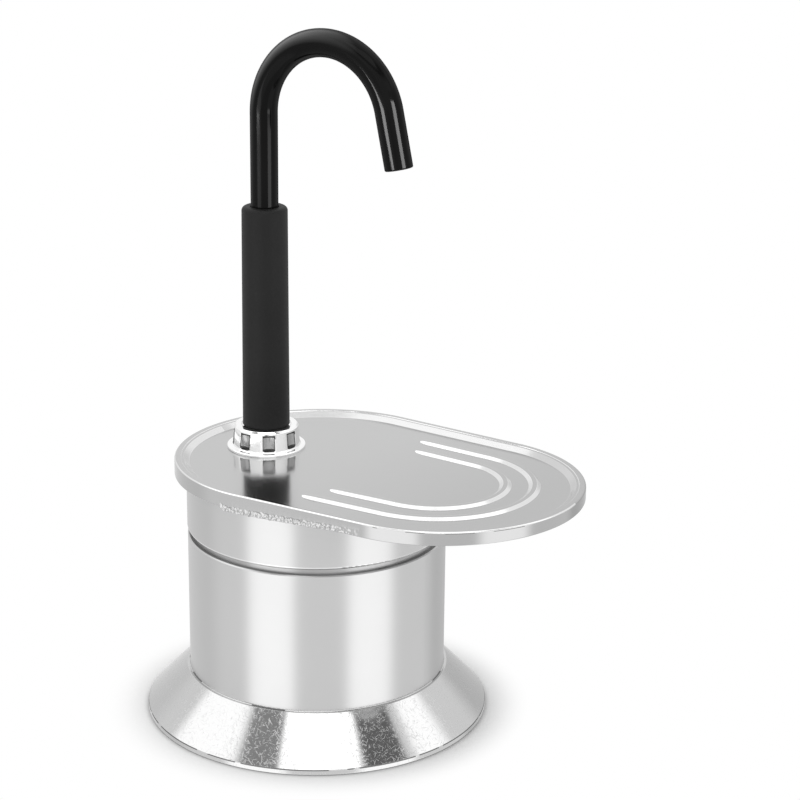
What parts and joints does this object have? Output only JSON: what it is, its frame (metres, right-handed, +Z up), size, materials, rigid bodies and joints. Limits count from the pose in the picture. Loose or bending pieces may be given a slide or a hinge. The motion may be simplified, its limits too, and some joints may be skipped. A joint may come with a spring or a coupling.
{
  "type": "stovetop espresso maker",
  "caption": "Small stovetop espresso maker: flared-foot boiler with an inner coffee funnel, screwed-on oval cup platform with raised ribs, and a gooseneck spout with a rubber grip.",
  "frame": {"origin": "on the boiler's axis, in the plane of the stove that the foot stands on", "axes": "+Z up along the boiler's axis, +X from the boiler towards the place where the cup stands"},
  "size_m": [0.1061, 0.08, 0.1597],
  "materials": {
    "polished_aluminium": "polished, lightly brushed",
    "spun_aluminium": "satin",
    "nut_chrome": "bright chrome",
    "black_tube": "gloss black",
    "grip_rubber": "matte black",
    "white_silicone": "matte",
    "dark_rubber": "matte",
    "valve_brass": "turned",
    "valve_steel": "bright"
  },
  "bodies": {
    "boiler": {"boiler": "polished_aluminium", "foot_ring": "polished_aluminium", "valve_body": "valve_brass", "valve_washer": "dark_rubber", "valve_cap": "valve_brass", "valve_spring": "valve_steel"},
    "plunger": {"valve_plunger": "valve_steel"},
    "funnel": {"funnel": "spun_aluminium", "funnel_stem": "spun_aluminium", "basket_sieve": "spun_aluminium"},
    "gasket": {"gasket": "white_silicone"},
    "screen": {"upper_screen": "spun_aluminium"},
    "upper": {"threaded_collar": "polished_aluminium", "cup_platform": "polished_aluminium", "spout_stub": "spun_aluminium", "spout_seal": "dark_rubber"},
    "nut": {"spout_nut": "nut_chrome"},
    "spout": {"spout_tube": "black_tube", "grip_sleeve": "grip_rubber"}
  },
  "joints": [
    {"name": "valve_lift", "type": "slide", "parent": "boiler", "child": "plunger", "axis": [-1, 0, 0], "range_m": [0, 0.0012], "stiffness_N_per_m": 300, "springref_m": -0.003, "deforming": ["valve_spring"]},
    {"name": "funnel_lift", "type": "slide", "parent": "boiler", "child": "funnel", "axis": [0, 0, 1], "range_m": [0, 0.055]},
    {"name": "upper_lift_off", "type": "slide", "parent": "funnel", "child": "gasket", "axis": [0, 0, 1], "range_m": [0, 0.05]},
    {"name": "thread_lift", "type": "slide", "parent": "gasket", "child": "screen", "axis": [0, 0, 1], "range_m": [0, 0.0076]},
    {"name": "upper_turn", "type": "hinge", "parent": "screen", "child": "upper", "pos_m": [0, 0, 0.055], "axis": [0, 0, 1], "range_deg": [0, 900]},
    {"name": "nut_turn", "type": "hinge", "parent": "upper", "child": "nut", "pos_m": [-0.0145, 0, 0.0609], "axis": [0, 0, 1], "range_deg": [0, 90]},
    {"name": "spout_turn", "type": "hinge", "parent": "upper", "child": "spout", "pos_m": [-0.0145, 0, 0.0609], "axis": [0, 0, 1], "range_deg": [-180, 180]}
  ],
  "couplings": [
    {"joint": "thread_lift", "follows": "upper_turn", "m_per_rad": 0.00047746}
  ]
}
